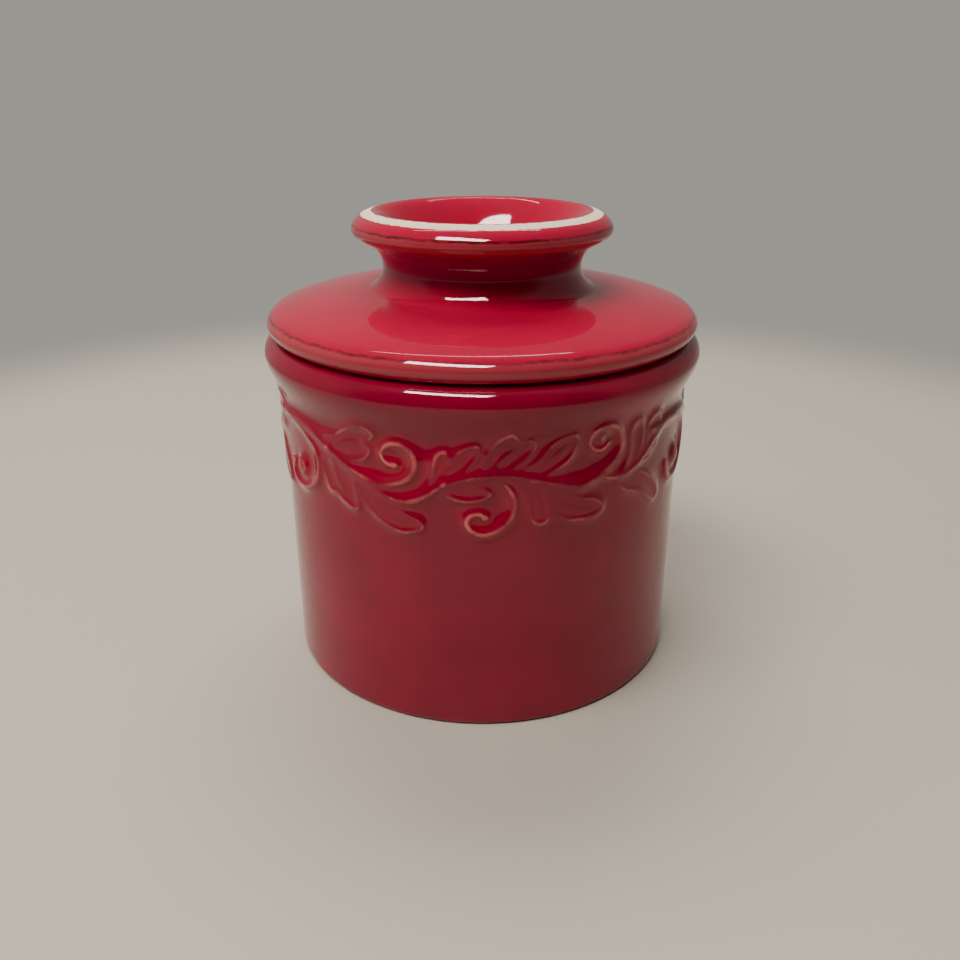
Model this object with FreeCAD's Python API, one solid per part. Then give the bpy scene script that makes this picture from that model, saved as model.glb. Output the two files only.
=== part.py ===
import FreeCAD, Part
import os

os.makedirs("parts", exist_ok=True)

# A two-piece butter crock in glazed stoneware, in millimetres. Both pieces are turned about Z.
# The origin is the middle of the foot, on the table, with +Z up.

# Crock: the open cylinder that holds the water.
crock_height = 80.4  # table to the crown of the rim
wall_radius = 47.9  # outside of the plain wall
wall = 4.9
rim_overhang = 3.4  # how far the rolled rim stands out past the wall
rim_roll = 3.9  # crown of the rim down to its widest line
rim_taper = 9.9  # widest line of the rim down to the plain wall
floor_thickness = 4.2
inner_corner = 6.0  # rounding between the floor and the inside wall
foot_ring_width = 5.5
foot_recess = 2.0  # hollow of the underside inside the foot ring
foot_rounding = 1.2

# Lid: a domed disc on the rim and a hollow, spool-shaped knob above it.
seat_gap = 0.2  # crown of the rim to the flat underside of the disc
disc_setback = 1.1  # how far the disc's edge stays inside the rim's widest line
edge_under = 2.8  # underside of the disc up to the widest line of its edge
edge_over = 2.6  # widest line of the edge up to the start of the dome
edge_inset = 2.4  # how far the edge's roundings reach in from its widest line
dome_rise = 3.9  # rise of the dome from its edge to the fillet of the neck
neck_radius = 23.05
neck_fillet = 3.55  # how far the fillet of the neck spreads over the dome
neck_rise = 4.6  # top of the dome up to the narrowest line of the neck
knob_overhang = 6.9  # how far the knob stands out past the neck
knob_flare = 8.9  # narrowest line of the neck up to the widest line of the knob
knob_arris = 1.1  # rise of the rounded edge between the knob's side and its bevel
knob_bevel = 2.7  # rise of the bevel from that edge to the crown
crown_inset = 4.75  # widest line of the knob in to the flat of its crown
crown_flat = 0.5  # width of the flat ring that the lid stands on when it is turned over
knob_wall = 6.05  # round the straight part of the hollow, at the neck
funnel_depth = 7.2  # crown down to the foot of the hollow's funnel
funnel_step = 1.1  # how much wider the funnel's foot is than the straight part
funnel_bend = 1.7  # funnel's foot down to the corner of the rounding under it
funnel_rounding = 3.6  # funnel's foot down to the straight part
bowl_corner = 5.0
bowl_floor_thickness = 5.6  # between the hollow of the knob and the bell's ceiling

# Bell: the cup under the disc that holds the butter, mouth down.
bell_gap = 11.0  # all round, between the bell's mouth and the inside of the crock
bell_wall = 4.5
bell_flare = 1.5  # how much wider the bell is at its mouth than at its root
bell_fillet = 3.0  # rounding between the bell and the locating shoulder
bell_corner = 8.0  # rounding of the bell's ceiling
bell_ceiling_rise = 3.8  # underside of the disc up to the bell's ceiling
well_depth = 14.4  # floor of the crock up to the mouth of the bell
shoulder_clearance = 1.0  # between the locating shoulder and the crock's mouth
shoulder_depth = 2.5
shoulder_rounding = 1.2

# How far the handles of a curve reach, as shares of the run they lie along, first end and second end.
quarter = 0.5523  # both handles of a quarter circle
taper_handles = (0.34, 0.26)  # plain wall to rim
edge_handles = (0.27, 0.5)  # side of the disc to dome
edge_lean = 0.18  # fall of the edge's inner handle
dome_handles = (0.175, 0.467)
dome_lean = (0.377, 0.141)  # rise of the dome's first handle and fall of its second
fillet_handles = (0.55, 0.38)
fillet_lean = 0.043
flare_handles = (0.745, 0.344)  # neck to knob
arris_lean = (0.45, 0.3)  # where the knob's side would meet its bevel, and how far the edge is set in
bevel_handles = (0.215, 0.632)
bevel_lean = (0.537, 0.333)  # rise of the bevel's first handle and fall of its second
funnel_handles = (0.212, 0.5)
funnel_lean = (0.028, 0.708)  # fall of the funnel's first handle and rise of its second


def at(radius, height):
    return FreeCAD.Vector(radius, 0, height)


def bend(corner, end):
    # A step of an outline that rounds the corner and lands at the end.
    return {"corner": corner, "end": end}


def outline(start, steps):
    # A step is a point reached by a straight line, a bend, or the three poles of a freer curve.
    edges = []
    here = start
    for step in steps:
        if isinstance(step, FreeCAD.Vector):
            edge = Part.LineSegment(here, step)
            here = step
        else:
            if isinstance(step, dict):
                first = here + (step["corner"] - here) * quarter
                second = step["end"] + (step["corner"] - step["end"]) * quarter
                step = (first, second, step["end"])
            edge = Part.BezierCurve()
            edge.setPoles([here, *step])
            here = step[-1]
        edges.append(edge.toShape())
    return edges


def turned(edges):
    face = Part.Face(Part.Wire(edges))
    return face.revolve(FreeCAD.Vector(0, 0, 0), FreeCAD.Vector(0, 0, 1), 360)


# Places that the two pieces share.
mouth_radius = wall_radius - wall
rim_radius = wall_radius + rim_overhang
floor_level = foot_recess + floor_thickness
seat_level = crock_height + seat_gap


def make_crock():
    foot_inner = wall_radius - foot_ring_width
    foot_edge = foot_rounding / 2
    rim_level = crock_height - rim_roll
    rim_crown = rim_radius - rim_roll
    taper_foot = rim_level - rim_taper
    start = at(0, foot_recess)
    steps = [
        at(foot_inner - foot_edge, foot_recess),
        bend(at(foot_inner, foot_recess), at(foot_inner, foot_recess - foot_edge)),
        at(foot_inner, foot_edge),
        bend(at(foot_inner, 0), at(foot_inner + foot_edge, 0)),
        at(wall_radius - foot_rounding, 0),
        bend(at(wall_radius, 0), at(wall_radius, foot_rounding)),
        at(wall_radius, taper_foot),
        (
            at(wall_radius, taper_foot + rim_taper * taper_handles[0]),
            at(rim_radius, rim_level - rim_taper * taper_handles[1]),
            at(rim_radius, rim_level),
        ),
        bend(at(rim_radius, crock_height), at(rim_crown, crock_height)),
        bend(at(mouth_radius, crock_height), at(mouth_radius, rim_level)),
        at(mouth_radius, floor_level + inner_corner),
        bend(at(mouth_radius, floor_level), at(mouth_radius - inner_corner, floor_level)),
        at(0, floor_level),
        start,
    ]
    return turned(outline(start, steps))


def make_bell_lid():
    # Levels, from the seat up to the crown of the knob.
    edge_level = seat_level + edge_under
    dome_foot = edge_level + edge_over
    dome_top = dome_foot + dome_rise
    neck_level = dome_top + neck_rise
    knob_level = neck_level + knob_flare
    bevel_level = knob_level + knob_arris
    crown_level = bevel_level + knob_bevel
    bell_ceiling = seat_level + bell_ceiling_rise
    bowl_floor = bell_ceiling + bowl_floor_thickness

    # Radii of the disc and the knob.
    disc_radius = rim_radius - disc_setback
    dome_start = disc_radius - edge_inset
    fillet_end = neck_radius + neck_fillet
    dome_width = dome_start - fillet_end
    knob_radius = neck_radius + knob_overhang
    bevel_foot = knob_radius - knob_arris * arris_lean[1]
    crown_outer = knob_radius - crown_inset
    crown_inner = crown_outer - crown_flat
    bowl_radius = neck_radius - knob_wall
    funnel_end = bowl_radius + funnel_step
    funnel_width = crown_inner - funnel_end
    funnel_level = crown_level - funnel_depth

    # The bell and the shoulder that keeps the lid in the middle of the crock's mouth.
    bell_mouth = mouth_radius - bell_gap
    bell_root = bell_mouth - bell_flare
    bell_lip = bell_wall / 2
    bell_level = floor_level + well_depth
    shoulder_radius = mouth_radius - shoulder_clearance
    shoulder_level = seat_level - shoulder_depth

    start = at(0, bell_ceiling)
    bell_hollow = [
        at(bell_root - bell_wall - bell_corner, bell_ceiling),
        bend(
            at(bell_root - bell_wall, bell_ceiling),
            at(bell_root - bell_wall, bell_ceiling - bell_corner),
        ),
        at(bell_mouth - bell_wall, bell_level + bell_lip),
        bend(at(bell_mouth - bell_wall, bell_level), at(bell_mouth - bell_lip, bell_level)),
    ]
    bell_outside = [
        bend(at(bell_mouth, bell_level), at(bell_mouth, bell_level + bell_lip)),
        at(bell_root, shoulder_level - bell_fillet),
        bend(at(bell_root, shoulder_level), at(bell_root + bell_fillet, shoulder_level)),
    ]
    seat = [
        at(shoulder_radius - shoulder_rounding, shoulder_level),
        bend(
            at(shoulder_radius, shoulder_level),
            at(shoulder_radius, shoulder_level + shoulder_rounding),
        ),
        at(shoulder_radius, seat_level),
        at(dome_start, seat_level),
    ]
    disc = [
        bend(at(disc_radius, seat_level), at(disc_radius, edge_level)),
        (
            at(disc_radius, edge_level + edge_over * edge_handles[0]),
            at(disc_radius - edge_inset * edge_handles[1], dome_foot - edge_over * edge_lean),
            at(dome_start, dome_foot),
        ),
        (
            at(dome_start - dome_width * dome_handles[0], dome_foot + dome_rise * dome_lean[0]),
            at(fillet_end + dome_width * dome_handles[1], dome_top - dome_rise * dome_lean[1]),
            at(fillet_end, dome_top),
        ),
    ]
    knob_outside = [
        (
            at(neck_radius + neck_fillet * fillet_handles[0], dome_top + neck_rise * fillet_lean),
            at(neck_radius, neck_level - neck_rise * fillet_handles[1]),
            at(neck_radius, neck_level),
        ),
        (
            at(neck_radius, neck_level + knob_flare * flare_handles[0]),
            at(knob_radius, knob_level - knob_flare * flare_handles[1]),
            at(knob_radius, knob_level),
        ),
        bend(
            at(knob_radius, knob_level + knob_arris * arris_lean[0]),
            at(bevel_foot, bevel_level),
        ),
        (
            at(
                bevel_foot - crown_inset * bevel_handles[0],
                bevel_level + knob_bevel * bevel_lean[0],
            ),
            at(
                crown_outer + crown_inset * bevel_handles[1],
                crown_level - knob_bevel * bevel_lean[1],
            ),
            at(crown_outer, crown_level),
        ),
        at(crown_inner, crown_level),
    ]
    knob_hollow = [
        (
            at(crown_inner - funnel_width * funnel_handles[0], crown_level - funnel_depth * funnel_lean[0]),
            at(funnel_end + funnel_width * funnel_handles[1], funnel_level + funnel_depth * funnel_lean[1]),
            at(funnel_end, funnel_level),
        ),
        bend(
            at(bowl_radius, funnel_level - funnel_bend),
            at(bowl_radius, funnel_level - funnel_rounding),
        ),
        at(bowl_radius, bowl_floor + bowl_corner),
        bend(at(bowl_radius, bowl_floor), at(bowl_radius - bowl_corner, bowl_floor)),
        at(0, bowl_floor),
        start,
    ]
    return turned(outline(start, bell_hollow + bell_outside + seat + disc + knob_outside + knob_hollow))


pieces = {"crock": make_crock(), "bell_lid": make_bell_lid()}
for name, shape in pieces.items():
    box = shape.BoundBox
    print(
        name,
        shape.ShapeType,
        "valid" if shape.isValid() else "not valid",
        f"{shape.Volume / 1000:.1f} ml of clay",
        f"{box.XLength:.2f} x {box.YLength:.2f}, from {box.ZMin:.2f} to {box.ZMax:.2f}",
    )
    shape.exportStep(f"parts/{name}.step")
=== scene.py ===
import math
import bpy
import numpy as np
from mathutils import Euler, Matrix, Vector


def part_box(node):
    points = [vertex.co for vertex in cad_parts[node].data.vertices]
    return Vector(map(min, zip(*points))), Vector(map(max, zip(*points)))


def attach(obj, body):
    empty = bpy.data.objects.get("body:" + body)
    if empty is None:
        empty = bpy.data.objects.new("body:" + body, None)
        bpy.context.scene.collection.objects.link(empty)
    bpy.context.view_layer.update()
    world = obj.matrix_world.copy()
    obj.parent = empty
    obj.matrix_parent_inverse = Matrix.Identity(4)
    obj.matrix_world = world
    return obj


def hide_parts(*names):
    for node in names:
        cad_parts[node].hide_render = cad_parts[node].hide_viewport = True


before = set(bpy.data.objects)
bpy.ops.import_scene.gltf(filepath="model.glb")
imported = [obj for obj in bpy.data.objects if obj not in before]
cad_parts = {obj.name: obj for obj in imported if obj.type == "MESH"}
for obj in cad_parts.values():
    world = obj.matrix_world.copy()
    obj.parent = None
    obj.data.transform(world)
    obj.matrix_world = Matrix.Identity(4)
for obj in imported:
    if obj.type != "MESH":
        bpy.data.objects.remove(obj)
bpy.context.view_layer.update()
mm = 0.001  # shapes are worked out in millimetres and laid down in metres
print("frame loaded")


# An outline is a half section, as radius and height. A step of it is a point, a bend round a corner,
# or the three poles of a freer curve.
def at(radius, height):
    return np.array([radius, height], float)


def bend(corner, end):
    return {"corner": corner, "end": end}


def sampleOutline(start, steps, lineStep, curveStep):
    quarter = 0.5523  # how far the handles reach to their corner for a quarter circle
    fewest = 6  # points along the smallest curve
    points = [start]
    for step in steps:
        here = points[-1]
        if isinstance(step, np.ndarray):
            count = max(1, math.ceil(np.linalg.norm(step - here) / lineStep))
            points += [here + (step - here) * i / count for i in range(1, count + 1)]
            continue
        if isinstance(step, dict):
            corner, end = step["corner"], step["end"]
            step = (here + (corner - here) * quarter, end + (corner - end) * quarter, end)
        poles = [here, *step]
        reach = sum(np.linalg.norm(poles[i + 1] - poles[i]) for i in range(3))
        count = max(fewest, math.ceil(reach / curveStep))
        for i in range(1, count + 1):
            t = i / count
            weights = ((1 - t) ** 3, 3 * t * (1 - t) ** 2, 3 * t * t * (1 - t), t ** 3)
            points.append(sum(w * p for w, p in zip(weights, poles)))
    return np.array(points)


def turnedPiece(name, outline, segments, push=None, marks=None):
    # turns a half section that starts and ends on the axis; angle 0 is the front and grows towards +X
    rows = outline[1:-1]
    angle = np.arange(segments) * 2 * math.pi / segments
    radius = rows[:, :1] + (np.zeros((len(rows), segments)) if push is None else push)
    height = np.repeat(rows[:, 1:], segments, axis=1)
    rings = np.stack([radius * np.sin(angle), -radius * np.cos(angle), height], axis=2).reshape(-1, 3)
    poles = np.array([[0, 0, outline[0, 1]], [0, 0, outline[-1, 1]]])
    points = np.concatenate([rings, poles]) * mm
    column = np.arange(segments)
    following = (column + 1) % segments
    start = np.arange(len(rows) - 1)[:, None] * segments
    quads = np.stack([start + column, start + segments + column,
                      start + segments + following, start + following], axis=2).reshape(-1, 4)
    last = (len(rows) - 1) * segments
    fans = [(len(rings), int(a), int(b)) for a, b in zip(column, following)]
    fans += [(len(rings) + 1, int(last + b), int(last + a)) for a, b in zip(column, following)]
    mesh = bpy.data.meshes.new(name)
    mesh.from_pydata(points.tolist(), [], quads.tolist() + fans)
    for mark, values in (marks or {}).items():
        layer = mesh.attributes.new(mark, "FLOAT", "POINT")
        layer.data.foreach_set("value", np.append(values, [0, 0]).astype(np.float32))
    mesh.shade_smooth()
    piece = bpy.data.objects.new(name, mesh)
    bpy.context.scene.collection.objects.link(piece)
    return piece


# the vine in low relief, drawn for a third of the way round and then repeated
vine = {
    "repeats": 3,
    "low": 44.5,  # the band of wall that the relief stays in
    "radius": 47.9,
    "stem": 1.15,  # how far stems, leaf edges, leaf middles, berries and veins stand out
    "leafEdge": 0.85,
    "leafMiddle": 0.5,
    "berry": 1.35,
    "vein": 0.28,
    "stemFoot": 1.6,  # how much wider a stem is at its foot than at its shoulders
    "leafEdgeWidth": 1.5,
    "skirt": 0.95,  # how much of its height the glaze carries out into the hollows beside it
    "skirtBlurs": 22,
    "softening": 3,  # blurs of the whole relief under the glaze
    "veinFrom": 0.3,  # veins lie only where a leaf already stands out this far
    "margin": 6,  # degrees beyond a shape's own points that its foot may reach
    "shoulder": 1.5,  # how round stems and leaf edges are
    # stems: half width at the start, middle and end, then points as degrees from the front and height
    "stems": [
        ((1.2, 1.2, 1.3), [(-72, 65.6), (-60, 66.2), (-54, 66), (-48, 65), (-42.5, 62.9), (-36, 60.5),
                           (-30, 58.2), (-26.5, 56.5), (-22.4, 55.2), (-19.4, 54.9), (-16.5, 55.5),
                           (-13.5, 57), (-10.6, 58.7), (-7, 60.2), (-3, 61.1), (3, 61.7), (9, 61.2),
                           (12.5, 60.4), (16.7, 59.3), (20.4, 58.2), (24.1, 57.7)]),
        ((1.3, 1.2, 0.7), [(20.4, 58.2), (24.1, 57.7), (27.8, 58.3), (32, 60.2), (35, 62.6), (36.3, 65),
                           (35.7, 67.5), (33.4, 69.4), (30.2, 70), (27.6, 69), (26.6, 67),
                           (27.8, 65.3), (30.2, 64.9), (32.2, 66)]),
        ((0.7, 1.3, 0.8), [(-34, 60.2), (-29, 58.5), (-26, 57.9), (-22.6, 58.3), (-19.1, 59.6), (-17, 61.4),
                           (-16.3, 63.7), (-17.3, 66), (-20.2, 67.3), (-23.4, 66.7), (-24.9, 64.8),
                           (-23.6, 63), (-21.3, 62.6)]),
        ((0.7, 1.2, 0.8), [(-3, 61.2), (2, 61.1), (5.3, 59.8), (7.2, 57.5), (7.8, 55.1), (7.1, 52.7),
                           (5.3, 50.6), (2.7, 49.2), (0, 48.7), (-2.5, 49.5), (-3.7, 51.1),
                           (-3, 52.7), (-1, 53.2), (0.6, 52.3)]),
        ((0.7, 1.3, 0.8), [(-64, 66), (-56, 65.2), (-50.5, 63.3), (-47.4, 60.9), (-46.2, 58.2),
                           (-46.9, 55.3), (-49.4, 52.7), (-53.4, 50.8), (-57.8, 50.6), (-61, 52.2),
                           (-61.6, 54.6)]),
        ((0.6, 0.9, 1.2), [(30, 58.9), (36, 57.6), (42, 58.8), (47, 61.8), (50.5, 64.3), (55, 66)]),
    ],
    "leaves": [  # each is a closed outline
        [(-46, 64.6), (-40, 66), (-37, 67.5), (-33, 69.2), (-29.5, 69.8), (-27.4, 68.7), (-28.4, 67.3),
         (-30.2, 66.7), (-28.8, 65.6), (-28.9, 64.2), (-31, 62.5), (-36, 61.4), (-42, 62)],
        [(-44.5, 60.5), (-43.4, 56), (-42.2, 53.4), (-39.5, 53.3), (-37, 51.7), (-33.6, 50.8),
         (-32.4, 52.4), (-32.9, 55), (-34.6, 59)],
        [(-32, 58), (-31.2, 54.6), (-29, 52), (-26, 49.8), (-22.5, 48.3), (-19, 47.9), (-15.2, 49.2),
         (-16.3, 51), (-20, 52.2), (-24, 53.3), (-28, 56)],
        [(-14, 57.2), (-12.1, 60.5), (-11.5, 63.7), (-10.6, 65.7), (-8.8, 66.3), (-7.5, 64.9), (-6, 66.2),
         (-3.9, 67.4), (-1.4, 67.7), (-0.9, 66.3), (-2.1, 64.5), (-4.4, 62.3), (-8, 60)],
        [(-10, 58.6), (-6, 59.7), (-1, 59.3), (1.5, 57.9), (0.3, 56.6), (-4, 56), (-8, 56.9)],
        [(0.6, 61.8), (1.1, 65), (2.2, 67.3), (4.2, 69.3), (6.6, 70.3), (8.2, 69.2), (9.2, 68.4),
         (11.4, 68.7), (12.4, 67.5), (10.6, 65.3), (7.9, 63.5), (4.5, 61.8)],
        [(9, 62), (13, 64.2), (15.2, 65.9), (17.5, 67.7), (20.4, 68.8), (22.7, 68.8), (22.9, 66.8),
         (21.6, 64.4), (18.5, 62.4), (14, 61)],
        [(8.8, 60.8), (10.6, 57.6), (11.3, 54.7), (11.9, 52.2), (13.3, 50.6), (15.3, 50.6), (16.6, 52.3),
         (16.5, 55.5), (15.2, 58.4), (12.6, 61)],
        [(15.6, 58.6), (16.6, 54.6), (18.5, 51.9), (21.5, 50.5), (26.3, 50), (30, 50.5), (31.2, 51.9),
         (28.8, 53.7), (25, 54.8), (20, 57)],
        [(36, 57.4), (38.4, 59.6), (39.7, 63), (39.6, 66.6), (41.2, 69.1), (43.6, 68.2), (44.1, 65),
         (43, 61.5), (40.5, 58.4)],
        [(44.6, 60), (46.2, 63.8), (46.7, 67.3), (49.2, 69.3), (51.6, 68), (51.6, 65), (50, 61.8)],
        [(35, 57.6), (38.3, 54.3), (42, 53), (45.4, 52), (49, 49.7), (52, 48.6), (53.4, 50), (51, 53),
         (46.5, 55.8), (41, 58)],
    ],
    # veins: as stems
    "veins": [
        ((0.7, 0.7, 0.3), [(-42, 63.5), (-37, 64.8), (-32.5, 66.2)]),
        ((0.7, 0.7, 0.3), [(-40.5, 60), (-39.5, 57), (-37, 54)]),
        ((0.7, 0.7, 0.3), [(-30, 56), (-25.5, 52), (-20, 50)]),
        ((0.7, 0.6, 0.3), [(-9.5, 60), (-7.8, 62.8), (-5, 65)]),
        ((0.7, 0.7, 0.3), [(3, 63), (5.5, 65.6), (7.5, 67)]),
        ((0.7, 0.6, 0.3), [(13, 62.6), (17, 64.8), (20.5, 66.8)]),
        ((0.7, 0.6, 0.3), [(11.6, 59.5), (13.6, 55.5), (14.4, 52.5)]),
        ((0.7, 0.6, 0.3), [(18, 55), (22, 52.8), (27, 51.9)]),
    ],
    "berries": [((-55.2, 55.3), 2.5), ((29.9, 67.6), 1.6)],  # centre and radius
}


def smoothLine(points, closed=False, step=0.3):
    # a Catmull-Rom curve through the points, as millimetres round and up the wall
    spots = np.array(points, float) * [math.pi * vine["radius"] / 180, 1]
    if closed:
        around = np.concatenate([spots[-1:], spots, spots[:2]])
    else:
        around = np.concatenate([2 * spots[:1] - spots[1:2], spots, 2 * spots[-1:] - spots[-2:-1]])
    line = []
    for a, b, c, d in zip(around, around[1:], around[2:], around[3:]):
        count = max(2, math.ceil(np.linalg.norm(c - b) / step))
        for t in np.arange(count) / count:
            cubic = t * (3 * b - a - 3 * c + d)
            line.append(b + 0.5 * t * (c - a + t * (2 * a - 5 * b + 4 * c - d + cubic)))
    line.append(line[0] if closed else around[-2])
    return np.array(line)


def nearest(grid, line):
    # each grid point's distance from the line, and how far along the line that is
    gap, share = np.full(len(grid), 1e9), np.zeros(len(grid))
    for i, spot in enumerate(line):
        far = (grid[:, 0] - spot[0]) ** 2 + (grid[:, 1] - spot[1]) ** 2
        closer = far < gap
        gap[closer] = far[closer]
        share[closer] = i / (len(line) - 1)
    return np.sqrt(gap), share


def isInside(grid, loop):
    inside = np.zeros(len(grid), bool)
    for (x1, y1), (x2, y2) in zip(loop, np.roll(loop, -1, axis=0)):
        if y1 != y2:
            crossing = (y1 > grid[:, 1]) != (y2 > grid[:, 1])
            inside ^= crossing & (grid[:, 0] < (x2 - x1) * (grid[:, 1] - y1) / (y2 - y1) + x1)
    return inside


def stemShape(grid, points, widths, height):
    gap, share = nearest(grid, smoothLine(points))
    width = np.interp(share, [0, 0.5, 1], widths) * vine["stemFoot"]
    return height * (1 - np.clip(gap / width, 0, 1) ** 2) ** vine["shoulder"]


def leafShape(grid, points):
    loop = smoothLine(points, closed=True)
    gap = nearest(grid, loop)[0]
    inside = isInside(grid, loop)
    edge = vine["leafEdge"] * (1 - np.clip(gap / vine["leafEdgeWidth"], 0, 1) ** 2) ** vine["shoulder"]
    return np.maximum(edge, np.where(inside, vine["leafMiddle"], 0))


def berryShape(grid, points, radius):
    centre = np.array(points[0]) * [math.pi * vine["radius"] / 180, 1]
    x = np.clip(np.linalg.norm(grid - centre, axis=1) / radius, 0, 1)
    return vine["berry"] * np.sqrt(1 - x * x)


def blurred(field, times):
    for _ in range(times):
        field = (field + np.roll(field, 1, 1) + np.roll(field, -1, 1)) / 3
        field[1:-1] = (field[2:] + field[1:-1] + field[:-2]) / 3
    return field


def vineHeights(levels, segments):
    # how far the relief stands out at each level and segment, in millimetres
    unit = 360 / vine["repeats"]
    degrees = np.arange(segments // vine["repeats"]) * 360 / segments
    along, up = (field.ravel() for field in np.meshgrid(degrees, levels))
    total, grooves = np.zeros(along.size), np.zeros(along.size)
    shapes = [(p, lambda g, q, w=w: stemShape(g, q, w, vine["stem"]), total) for w, p in vine["stems"]]
    shapes += [(p, leafShape, total) for p in vine["leaves"]]
    shapes += [([c], lambda g, q, r=r: berryShape(g, q, r), total) for c, r in vine["berries"]]
    shapes += [(p, lambda g, q, w=w: stemShape(g, q, w, vine["vein"]), grooves) for w, p in vine["veins"]]
    for points, shape, field in shapes:
        for turn in (-unit, 0, unit):
            moved = [(d + turn, z) for d, z in points]
            low = min(d for d, _ in moved) - vine["margin"]
            high = max(d for d, _ in moved) + vine["margin"]
            near = (along > low) & (along < high)
            if near.any():
                grid = np.stack([along[near] * math.pi * vine["radius"] / 180, up[near]], axis=1)
                field[near] = np.maximum(field[near], shape(grid, moved))
    total = (total + grooves * (total > vine["veinFrom"])).reshape(len(levels), -1)
    total = np.maximum(total, vine["skirt"] * blurred(total.copy(), vine["skirtBlurs"]))
    return np.tile(blurred(total, vine["softening"]), (1, vine["repeats"]))


crock = {
    "segments": 1080,
    "wall": 4.9,
    "rimOverhang": 3.4,
    "rimRoll": 3.9,
    "rimTaper": 9.9,
    "taperHandles": (0.34, 0.26),
    "floorThickness": 4.2,
    "innerCorner": 6.0,
    "footRingWidth": 5.5,
    "footRecess": 2.0,
    "footRounding": 1.2,
    "reliefStep": 0.28,  # one row of the mesh in the relief band
    "footSteps": (2.0, 0.25),  # rows along straight and curved parts, below and above the band
    "rimSteps": (3.0, 0.35),
    "crestBow": 1.4,  # how sharply, per millimetre, the surface bows where the glaze is thinnest
    "hollowBow": 1.0,  # and where it is fullest and given painted light
}


def makeCrock():
    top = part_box("crock")[1].z / mm
    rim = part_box("crock")[1].x / mm
    wall = rim - crock["rimOverhang"]
    mouth = wall - crock["wall"]
    floorLevel = crock["footRecess"] + crock["floorThickness"]
    footInner = wall - crock["footRingWidth"]
    footEdge = crock["footRounding"] / 2
    rimLevel = top - crock["rimRoll"]
    taper = crock["rimTaper"]
    taperFoot = rimLevel - taper
    recess, rounding, corner = crock["footRecess"], crock["footRounding"], crock["innerCorner"]
    below = sampleOutline(at(0, recess), [
        at(footInner - footEdge, recess),
        bend(at(footInner, recess), at(footInner, recess - footEdge)),
        at(footInner, footEdge),
        bend(at(footInner, 0), at(footInner + footEdge, 0)),
        at(wall - rounding, 0),
        bend(at(wall, 0), at(wall, rounding)),
        at(wall, vine["low"]),
    ], *crock["footSteps"])
    band = sampleOutline(at(wall, vine["low"]), [
        at(wall, taperFoot),
        (at(wall, taperFoot + taper * crock["taperHandles"][0]),
         at(rim, rimLevel - taper * crock["taperHandles"][1]), at(rim, rimLevel)),
    ], crock["reliefStep"], crock["reliefStep"])
    above = sampleOutline(at(rim, rimLevel), [
        bend(at(rim, top), at(rim - crock["rimRoll"], top)),
        bend(at(mouth, top), at(mouth, rimLevel)),
        at(mouth, floorLevel + corner),
        bend(at(mouth, floorLevel), at(mouth - corner, floorLevel)),
        at(0, floorLevel),
    ], *crock["rimSteps"])
    outline = np.concatenate([below, band[1:], above[1:]])
    rows = slice(len(below) - 1, len(below) + len(band) - 2)
    heights = vineHeights(outline[1:-1][rows, 1], crock["segments"])
    push = np.zeros((len(outline) - 2, crock["segments"]))
    push[rows] = heights
    # glaze runs thin where the surface bows out and pools where it bows in, and those hollows get painted
    # light
    smoothed = blurred(heights.copy(), 1)
    bow = np.zeros_like(push)
    bow[rows] = -(np.roll(smoothed, 1, 1) + np.roll(smoothed, -1, 1) - 2 * smoothed)
    bow[rows][1:-1] -= smoothed[2:] + smoothed[:-2] - 2 * smoothed[1:-1]
    bow /= crock["reliefStep"] ** 2
    marks = {"crest": np.clip(bow / crock["crestBow"], 0, 1),
             "hollow": np.clip(-bow / crock["hollowBow"], 0, 1)}
    piece = turnedPiece("crock_body", outline, crock["segments"], push, marks)
    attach(piece, "crock")
    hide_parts("crock")
    return piece


crockPiece = makeCrock()
print("crock made,", len(crockPiece.data.vertices), "points")


lid = {
    "segments": 300,
    "steps": (6.0, 0.42),  # rows along straight and curved parts
    "seatGap": 0.2,
    "edgeUnder": 2.8,
    "edgeOver": 2.6,
    "edgeInset": 2.4,
    "edgeHandles": (0.27, 0.5),
    "edgeLean": 0.18,
    "domeRise": 3.9,
    "domeHandles": (0.175, 0.467),
    "domeLean": (0.377, 0.141),
    "neckRadius": 23.05,
    "neckFillet": 3.55,
    "neckRise": 4.6,
    "filletHandles": (0.55, 0.38),
    "filletLean": 0.043,
    "knobOverhang": 6.9,
    "knobFlare": 8.9,
    "flareHandles": (0.745, 0.344),
    "knobArris": 1.1,
    "arrisLean": (0.45, 0.3),
    "knobBevel": 2.7,
    "bevelHandles": (0.215, 0.632),
    "bevelLean": (0.537, 0.333),
    "crownInset": 4.75,
    "crownFlat": 0.5,
    "knobWall": 6.05,
    "funnelDepth": 7.2,
    "funnelStep": 1.1,
    "funnelHandles": (0.212, 0.5),
    "funnelLean": (0.028, 0.708),
    "funnelRounding": (1.7, 3.6),
    "bowlCorner": 5.0,
    "bowlFloor": 5.6,
    "bellGap": 11.0,
    "bellWall": 4.5,
    "bellFlare": 1.5,
    "bellFillet": 3.0,
    "bellCorner": 8.0,
    "bellCeiling": 3.8,
    "shoulderClearance": 1.0,
    "shoulderDepth": 2.5,
    "shoulderRounding": 1.2,
}


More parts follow.
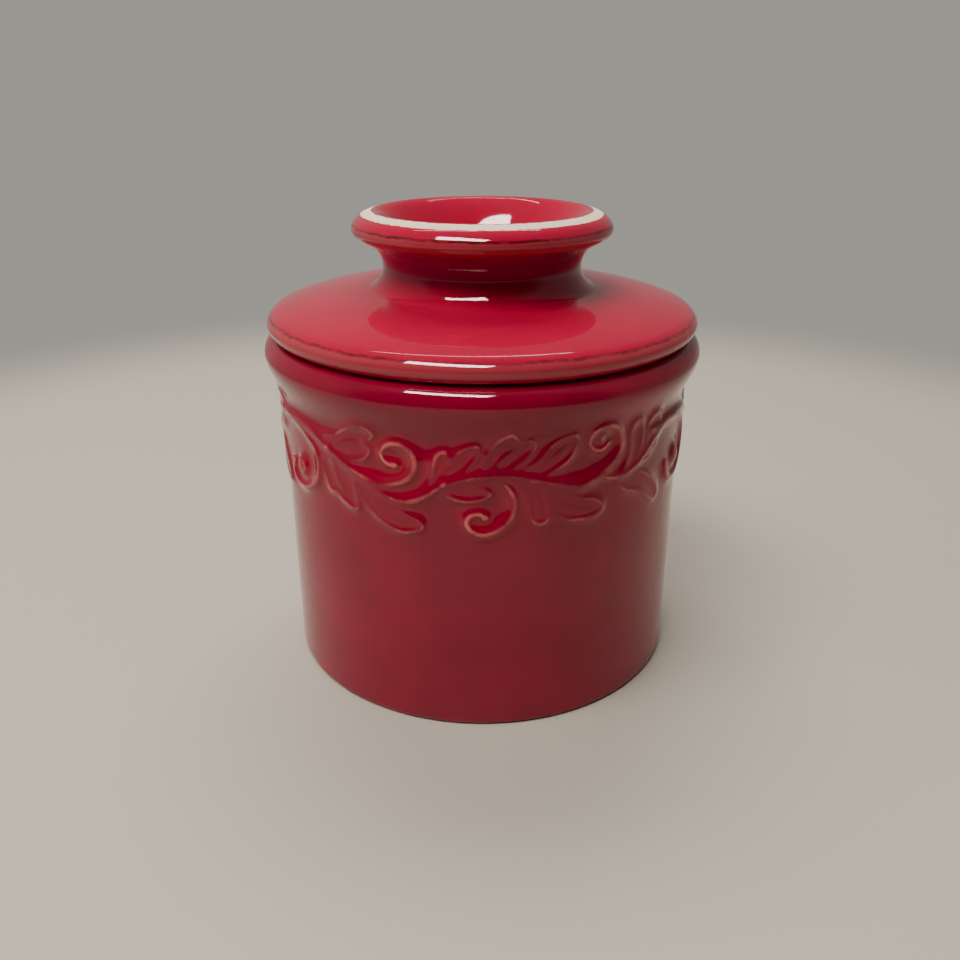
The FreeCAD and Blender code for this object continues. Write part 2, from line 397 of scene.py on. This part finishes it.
def lidOutline():
    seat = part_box("crock")[1].z / mm + lid["seatGap"]
    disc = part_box("bell_lid")[1].x / mm
    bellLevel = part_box("bell_lid")[0].z / mm
    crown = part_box("bell_lid")[1].z / mm
    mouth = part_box("crock")[1].x / mm - crock["rimOverhang"] - crock["wall"]
    # levels
    edge = seat + lid["edgeUnder"]
    domeFoot = edge + lid["edgeOver"]
    domeTop = domeFoot + lid["domeRise"]
    neckLevel = domeTop + lid["neckRise"]
    knobLevel = neckLevel + lid["knobFlare"]
    bevelLevel = knobLevel + lid["knobArris"]
    ceiling = seat + lid["bellCeiling"]
    bowlFloor = ceiling + lid["bowlFloor"]
    shoulderLevel = seat - lid["shoulderDepth"]
    # radii
    domeStart = disc - lid["edgeInset"]
    neck = lid["neckRadius"]
    filletEnd = neck + lid["neckFillet"]
    domeWidth = domeStart - filletEnd
    knob = neck + lid["knobOverhang"]
    bevelFoot = knob - lid["knobArris"] * lid["arrisLean"][1]
    crownOuter = knob - lid["crownInset"]
    crownInner = crownOuter - lid["crownFlat"]
    bowl = neck - lid["knobWall"]
    funnelEnd = bowl + lid["funnelStep"]
    funnelWidth = crownInner - funnelEnd
    funnelLevel = crown - lid["funnelDepth"]
    bell, wall = mouth - lid["bellGap"], lid["bellWall"]
    root = bell - lid["bellFlare"]
    shoulder = mouth - lid["shoulderClearance"]
    corner, fillet, rounding = lid["bellCorner"], lid["bellFillet"], lid["shoulderRounding"]
    bellPart = [
        at(root - wall - corner, ceiling),
        bend(at(root - wall, ceiling), at(root - wall, ceiling - corner)),
        at(bell - wall, bellLevel + wall / 2),
        bend(at(bell - wall, bellLevel), at(bell - wall / 2, bellLevel)),
        bend(at(bell, bellLevel), at(bell, bellLevel + wall / 2)),
        at(root, shoulderLevel - fillet),
        bend(at(root, shoulderLevel), at(root + fillet, shoulderLevel)),
        at(shoulder - rounding, shoulderLevel),
        bend(at(shoulder, shoulderLevel), at(shoulder, shoulderLevel + rounding)),
        at(shoulder, seat),
        at(domeStart, seat),
    ]
    discPart = [
        bend(at(disc, seat), at(disc, edge)),
        (at(disc, edge + lid["edgeOver"] * lid["edgeHandles"][0]),
         at(disc - lid["edgeInset"] * lid["edgeHandles"][1],
            domeFoot - lid["edgeOver"] * lid["edgeLean"]),
         at(domeStart, domeFoot)),
        (at(domeStart - domeWidth * lid["domeHandles"][0],
            domeFoot + lid["domeRise"] * lid["domeLean"][0]),
         at(filletEnd + domeWidth * lid["domeHandles"][1],
            domeTop - lid["domeRise"] * lid["domeLean"][1]),
         at(filletEnd, domeTop)),
    ]
    knobPart = [
        (at(neck + lid["neckFillet"] * lid["filletHandles"][0],
            domeTop + lid["neckRise"] * lid["filletLean"]),
         at(neck, neckLevel - lid["neckRise"] * lid["filletHandles"][1]), at(neck, neckLevel)),
        (at(neck, neckLevel + lid["knobFlare"] * lid["flareHandles"][0]),
         at(knob, knobLevel - lid["knobFlare"] * lid["flareHandles"][1]), at(knob, knobLevel)),
        bend(at(knob, knobLevel + lid["knobArris"] * lid["arrisLean"][0]),
             at(bevelFoot, bevelLevel)),
        (at(bevelFoot - lid["crownInset"] * lid["bevelHandles"][0],
            bevelLevel + lid["knobBevel"] * lid["bevelLean"][0]),
         at(crownOuter + lid["crownInset"] * lid["bevelHandles"][1],
            crown - lid["knobBevel"] * lid["bevelLean"][1]), at(crownOuter, crown)),
        at(crownInner, crown),
        (at(crownInner - funnelWidth * lid["funnelHandles"][0],
            crown - lid["funnelDepth"] * lid["funnelLean"][0]),
         at(funnelEnd + funnelWidth * lid["funnelHandles"][1],
            funnelLevel + lid["funnelDepth"] * lid["funnelLean"][1]),
         at(funnelEnd, funnelLevel)),
        bend(at(bowl, funnelLevel - lid["funnelRounding"][0]),
             at(bowl, funnelLevel - lid["funnelRounding"][1])),
        at(bowl, bowlFloor + lid["bowlCorner"]),
        bend(at(bowl, bowlFloor), at(bowl - lid["bowlCorner"], bowlFloor)),
        at(0, bowlFloor),
    ]
    return sampleOutline(at(0, ceiling), bellPart + discPart + knobPart, *lid["steps"])


lidPiece = turnedPiece("bell_lid_body", lidOutline(), lid["segments"])
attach(lidPiece, "bell_lid")
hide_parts("bell_lid")
print("lid made,", len(lidPiece.data.vertices), "points")


def linearColor(code):
    # an sRGB hex colour as linear values
    parts = [int(code[i:i + 2], 16) / 255 for i in (1, 3, 5)]
    return [p / 12.92 if p <= 0.04045 else ((p + 0.055) / 1.055) ** 2.4 for p in parts] + [1.0]


def addNode(tree, kind, settings, inputs, out=0):
    # adds a node with its settings, links or fills its inputs, and returns one of its outputs, if any
    node = tree.nodes.new("ShaderNode" + kind)
    for key, value in settings.items():
        setattr(node, key, value)
    for key, value in inputs.items() if isinstance(inputs, dict) else enumerate(inputs):
        if isinstance(value, bpy.types.NodeSocket):
            tree.links.new(value, node.inputs[key])
        else:
            node.inputs[key].default_value = value
    return node.outputs[out] if node.outputs else None


# settings that several nodes share
smooth = {"interpolation_type": "SMOOTHSTEP"}
colors = {"data_type": "RGBA"}
plus = {"operation": "ADD"}
minus = {"operation": "SUBTRACT"}
times = {"operation": "MULTIPLY"}


def within(tree, limits, share=1.0):
    # narrows a share by smooth steps; a limit is a value, the span that its step comes in over and,
    # where they aren't 0 and 1, what the step gives at its two ends
    for value, *span in limits:
        step = addNode(tree, "MapRange", smooth, [value, *span])
        share = addNode(tree, "Math", times, [share, step])
    return share


# A breaking red glaze over stoneware, dipped and fired glossy. It is glassy and even on broad faces,
# turns pink and tan where it runs thin over an edge, and is fullest where it pools; the pools are
# painted a brighter red, painted light for hollows that face up.
glaze = {
    "lid": ("#aa0a36", "#bc0c3e"),  # deep and full
    # darker than the lid's tones: painted shade for the upright wall, which takes less of the light from
    # above
    "crock": ("#780928", "#a20b38"),
    "neck": "#980c4c",  # painted shade round the neck under the knob's flare, deeper and bluer
    "neckRadius": ((30.0, 26.0), (22.0, 22.9)),  # where the neck's painted shade comes in and goes out
    "neckHeight": ((92.4, 95.2), (103.6, 101.2)),
    "poolAndLight": ("#b20a2c", 0.75),  # a colour and how far it takes over: pooled glaze, painted brighter as painted light in the hollows
    "thin": ("#e2746e", 0.85),
    "thinBow": (0.25, 0.9),  # share of the sharpest crest where the glaze starts to thin, and is thinnest
    "patches": (0.3, 0.7, 0.75, 1.25),  # from and to in the noise, and how much thinning that gives
    "specks": (0.25, 0.75, 0.85, 1.15),
    "pinhole": ("#3a0c10", 0.6),
    "pinholeSpacing": 5.0,  # in millimetres, as are the heights and depths
    "pinholeRadius": 0.14,
    "pinholeDepth": 0.05,
    "rippleHeight": 0.012,
    "roughness": 0.05,
    "ior": 1.42,
}

# the dark line left where the glaze draws back from the edges of the knob and the disc
wornLine = {
    "color": "#431310",
    "knobFrom": (92.0, 95.0),  # heights between which the disc's line gives way to the knob's
    "level": (84.9, 104.3),  # on the disc and on the knob
    "strength": (0.7, 0.9),
    "discRadius": (48.3, 48.9),  # the line lies outside these radii
    "knobRadius": (28.4, 28.9),
    "halfWidth": (0.42, 0.05),  # faded out and full
    "wobble": (0.3, 0.7, -0.13, 0.13),  # from and to in the noise, and how far that moves the line
    "breaks": (0.3, 0.6, 0.5, 1.0),  # and how strong that leaves it
    "fades": (0.36, 0.52, 0.6, 1.0),
    "under": ("#ac4650", 0.6),  # the thinner glaze below it
    "underTop": (0.25, -0.1),  # measured up from the line
    "underFoot": (-3.6, -2.4),
}

# unglazed stoneware, matt and sandy, where the glaze was wiped away before firing
bareClay = {
    # paler than the clay itself: painted light for the brightly lit ring on the crown
    "colors": ("#fff0d8", "#fadcc0"),
    "roughness": 0.75,
    "grainHeight": 0.05,
    "ringInner": (25.2, 25.35),  # radii of the ring on the knob's crown
    "ringOuter": (27.7, 27.5),
    "ringHeight": (105.9, 106.1),
    "ragged": (0.2, 0.8, -0.14, 0.14),  # from and to in the noise, and how far that moves the ring's edge
    "footRadius": (46.0, 47.6),  # the glaze reaches down to the table only outside these
    "footHeight": (2.6, 2.2),
    "footKeep": 8.0,  # more than the height of the wiped part
}

patterns = {  # size in millimetres, and how much fine detail is in it
    "both": {"clouds": (16.0, 3.0), "ripples": (7.0, 1.0), "grain": (0.3, 4.0)},
    "lid": {"wobble": (4.5, 3.0), "breaks": (1.6, 3.0), "fades": (11.0, 2.0), "ragged": (1.6, 3.0)},
    "crock": {"patches": (4.0, 2.0), "specks": (0.45, 3.0)},
}


def crockWear(tree, noise, height, radius, color):
    # the crock's mesh carries two marks: hollow where the glaze pools and painted light brightens it, and
    # crest where it runs thin
    poolAndLightColor, poolAndLightShare = glaze["poolAndLight"]
    hollow = addNode(tree, "Attribute", {"attribute_name": "hollow"}, {}, 2)
    pooledAndLit = addNode(tree, "Math", times, [hollow, poolAndLightShare])
    color = addNode(tree, "Mix", colors, {0: pooledAndLit, 6: color, 7: linearColor(poolAndLightColor)}, 2)
    thinColor, thinShare = glaze["thin"]
    crest = addNode(tree, "Attribute", {"attribute_name": "crest"}, {}, 2)
    broken = within(tree, [(noise["patches"], *glaze["patches"]),
                           (noise["specks"], *glaze["specks"])], crest)
    thinned = within(tree, [(broken, *glaze["thinBow"], 0.0, thinShare)])
    color = addNode(tree, "Mix", colors, {0: thinned, 6: color, 7: linearColor(thinColor)}, 2)
    # the foot ring and the recess inside it are wiped bare
    kept = within(tree, [(radius, *bareClay["footRadius"])], bareClay["footKeep"])
    raised = addNode(tree, "Math", plus, [height, kept])
    return color, within(tree, [(raised, *bareClay["footHeight"])])


def lidWear(tree, noise, height, radius, color):
    # painted shade: the neck under the knob's flare is coloured deeper and bluer
    neckIn, neckOut = glaze["neckRadius"]
    neckFoot, neckTop = glaze["neckHeight"]
    neck = within(tree, [(radius, *neckIn), (height, *neckFoot), (height, *neckTop), (radius, *neckOut)])
    color = addNode(tree, "Mix", colors, {0: neck, 6: color, 7: linearColor(glaze["neck"])}, 2)
    # the worn line wanders, breaks up and fades in places
    knobFrom = wornLine["knobFrom"]
    onKnob = within(tree, [(height, *knobFrom)])
    lineLevel = within(tree, [(height, *knobFrom, *wornLine["level"])])
    strength = within(tree, [(height, *knobFrom, *wornLine["strength"])])
    wobble = within(tree, [(noise["wobble"], *wornLine["wobble"])])
    wandering = addNode(tree, "Math", plus, [height, wobble])
    above = addNode(tree, "Math", minus, [wandering, lineLevel])
    onDiscEdge = within(tree, [(radius, *wornLine["discRadius"])])
    onKnobEdge = within(tree, [(radius, *wornLine["knobRadius"])], onKnob)
    onEdge = addNode(tree, "Math", {"operation": "MAXIMUM"}, [onDiscEdge, onKnobEdge])
    underColor, underShare = wornLine["under"]
    under = within(tree, [(above, *wornLine["underTop"]), (above, *wornLine["underFoot"])], onEdge)
    under = addNode(tree, "Math", times, [under, underShare])
    color = addNode(tree, "Mix", colors, {0: under, 6: color, 7: linearColor(underColor)}, 2)
    distance = addNode(tree, "Math", {"operation": "ABSOLUTE"}, [above])
    line = within(tree, [(distance, *wornLine["halfWidth"]), (noise["breaks"], *wornLine["breaks"]),
                         (noise["fades"], *wornLine["fades"])], onEdge)
    line = addNode(tree, "Math", times, [line, strength])
    color = addNode(tree, "Mix", colors, {0: line, 6: color, 7: linearColor(wornLine["color"])}, 2)
    # the ring wiped bare, with the glaze's edge a little uneven
    ragged = within(tree, [(noise["ragged"], *bareClay["ragged"])])
    ring = addNode(tree, "Math", plus, [radius, ragged])
    return color, within(tree, [(ring, *bareClay["ringInner"]), (ring, *bareClay["ringOuter"]),
                                (height, *bareClay["ringHeight"])])


def glazeMaterial(name, piece, wear):
    material = bpy.data.materials.new(name)
    material.use_nodes = True
    tree = material.node_tree
    tree.nodes.clear()
    place = addNode(tree, "TexCoord", {}, {}, 3)
    spot = addNode(tree, "VectorMath", {"operation": "SCALE"}, {0: place, "Scale": 1 / mm})
    height = addNode(tree, "SeparateXYZ", {}, [spot], 2)
    flat = addNode(tree, "VectorMath", times, [spot, (1.0, 1.0, 0.0)])
    radius = addNode(tree, "VectorMath", {"operation": "LENGTH"}, [flat], 1)
    noise = {key: addNode(tree, "TexNoise", {}, {"Vector": spot, "Scale": 1 / size, "Detail": detail})
             for key, (size, detail) in {**patterns["both"], **patterns[piece]}.items()}
    deep, full = (linearColor(tone) for tone in glaze[piece])
    color = addNode(tree, "Mix", colors, {0: noise["clouds"], 6: deep, 7: full}, 2)
    color, bare = wear(tree, noise, height, radius, color)
    # the bare clay's tones, painted paler than the clay as painted light
    pale, tan = (linearColor(tone) for tone in bareClay["colors"])
    clay = addNode(tree, "Mix", colors, {0: noise["grain"], 6: pale, 7: tan}, 2)
    color = addNode(tree, "Mix", colors, {0: bare, 6: color, 7: clay}, 2)
    rough = addNode(tree, "MapRange", {}, [bare, 0.0, 1.0, glaze["roughness"], bareClay["roughness"]])
    # pinholes left by bubbles
    cells = addNode(tree, "TexVoronoi", {}, {"Vector": spot, "Scale": 1 / glaze["pinholeSpacing"]})
    hole = within(tree, [(cells, glaze["pinholeRadius"] / glaze["pinholeSpacing"], 0.0)])
    holeColor, holeShare = glaze["pinhole"]
    dark = addNode(tree, "Math", times, [hole, holeShare])
    color = addNode(tree, "Mix", colors, {0: dark, 6: color, 7: linearColor(holeColor)}, 2)
    sand = addNode(tree, "Math", times, [noise["grain"], bare])
    relief = 0.0
    for bump, rise in ((noise["ripples"], glaze["rippleHeight"]), (hole, -glaze["pinholeDepth"]),
                       (sand, bareClay["grainHeight"])):
        raised = addNode(tree, "Math", times, [bump, rise * mm])
        relief = addNode(tree, "Math", plus, [relief, raised])
    normal = addNode(tree, "Bump", {}, {"Height": relief, "Strength": 1.0, "Distance": 1.0})
    shader = addNode(tree, "BsdfPrincipled", {}, {
        "Base Color": color, "Roughness": rough, "IOR": glaze["ior"], "Normal": normal})
    addNode(tree, "OutputMaterial", {}, [shader])
    return material


crockPiece.data.materials.append(glazeMaterial("breakingRedGlaze", "crock", crockWear))
lidPiece.data.materials.append(glazeMaterial("redGlazeWithBareRing", "lid", lidWear))
print("glazed")

# pale paper underfoot, matt, that fades into the room at its edge
stage = {"reach": 0.4, "fade": (0.25, 0.38), "segments": 96, "color": "#c1bdb1", "roughness": 0.6}
floorMesh = bpy.data.meshes.new("floor")
turn = [2 * math.pi * i / stage["segments"] for i in range(stage["segments"])]
floorMesh.from_pydata([(stage["reach"] * math.cos(a), stage["reach"] * math.sin(a), 0) for a in turn], [],
                      [tuple(range(stage["segments"]))])
floor = bpy.data.objects.new("floor", floorMesh)
bpy.context.scene.collection.objects.link(floor)
paper = bpy.data.materials.new("palePaper")
paper.use_nodes = True
tree = paper.node_tree
tree.nodes.clear()
place = addNode(tree, "TexCoord", {}, {}, 3)
spread = addNode(tree, "VectorMath", {"operation": "LENGTH"}, [place], 1)
sheet = addNode(tree, "BsdfPrincipled", {}, {
    "Base Color": linearColor(stage["color"]), "Roughness": stage["roughness"]})
nothing = addNode(tree, "BsdfTransparent", {}, {})
mixed = addNode(tree, "MixShader", {}, [within(tree, [(spread, *stage["fade"])]), sheet, nothing])
addNode(tree, "OutputMaterial", {}, [mixed])
floorMesh.materials.append(paper)

# The room is pale behind and underfoot, lighter to the left and dim in front. It is seen in the gloss
# and fills the shadows; behind the crock it shows as one plain tone.
room = {
    "left": "#a6a29a",
    # laid over it in turn: the axis, from and to along it as parts of the direction looked in, and the tone
    "right": (0, -0.7, 0.7, "#908e88"),
    "ceiling": (2, 0.45, 0.8, "#8c8a86"),
    "low": (2, -0.02, -0.1, "#a09c92"),
    "front": (1, -0.15, -0.6, "#1c1c1c"),
    "seen": "#a09e95",
}
world = bpy.data.worlds.new("room")
bpy.context.scene.world = world
world.use_nodes = True
tree = world.node_tree
tree.nodes.clear()
looking = addNode(tree, "TexCoord", {}, {})
tone = linearColor(room["left"])
for side in ("right", "ceiling", "low", "front"):
    axis, start, end, sideTone = room[side]
    along = addNode(tree, "SeparateXYZ", {}, [looking], axis)
    share = within(tree, [(along, start, end)])
    tone = addNode(tree, "Mix", colors, {0: share, 6: tone, 7: linearColor(sideTone)}, 2)
direct = addNode(tree, "LightPath", {}, {})
shown = addNode(tree, "Mix", colors, {0: direct, 6: tone, 7: linearColor(room["seen"])}, 2)
glow = addNode(tree, "Background", {}, {"Color": shown, "Strength": 1.0})
addNode(tree, "OutputWorld", {}, [glow])


# each panel has a place, a size, a power in watts and a colour; the first three light what is matt, and
# the last two are seen only in the gloss
lights = {
    "aim": (0, 0, 0.08),
    "matt": {
        "keyPanel": ((-0.24, -0.31, 0.77), (0.5, 0.3), 5.8, "#fff6ec"),
        "backPanel": ((-0.05, 0.45, 0.95), (0.7, 0.4), 6.6, "#fff6ec"),
        "sidePanel": ((-0.8, -0.1, 0.5), (0.5, 0.5), 1.2, "#fff6ec"),
    },
    "gloss": {
        "keyShine": ((-0.165, -0.345, 0.75), (0.46, 0.14), 15, "#ffe6e2"),
        "stripShine": ((-0.05, 0.335, 0.79), (0.62, 0.012), 1.2, "#ffe2e2"),
    },
}


def addLight(name, gloss):
    place, size, power, color = lights["gloss" if gloss else "matt"][name]
    data = bpy.data.lights.new(name, "AREA")
    data.shape = "RECTANGLE"
    data.size, data.size_y = size
    data.energy = power
    data.color = linearColor(color)[:3]
    light = bpy.data.objects.new(name, data)
    light.location = place
    light.rotation_euler = (Vector(lights["aim"]) - Vector(place)).to_track_quat("-Z", "Y").to_euler()
    light.visible_diffuse = not gloss
    light.visible_glossy = gloss
    bpy.context.scene.collection.objects.link(light)


for panel in lights["matt"]:
    addLight(panel, False)
for panel in lights["gloss"]:
    addLight(panel, True)

view = {"place": (-0.0005, -0.2169, 0.1341), "downDegrees": 23.51, "lens": 34.5, "sensor": 36.0,
        "nearest": 0.01}
cameraData = bpy.data.cameras.new("camera")
cameraData.lens = view["lens"]
cameraData.sensor_width = view["sensor"]
cameraData.clip_start = view["nearest"]
camera = bpy.data.objects.new("camera", cameraData)
camera.location = view["place"]
camera.rotation_euler = Euler((math.radians(90 - view["downDegrees"]), 0, 0))
bpy.context.scene.collection.objects.link(camera)
bpy.context.scene.camera = camera
print("lit and framed")
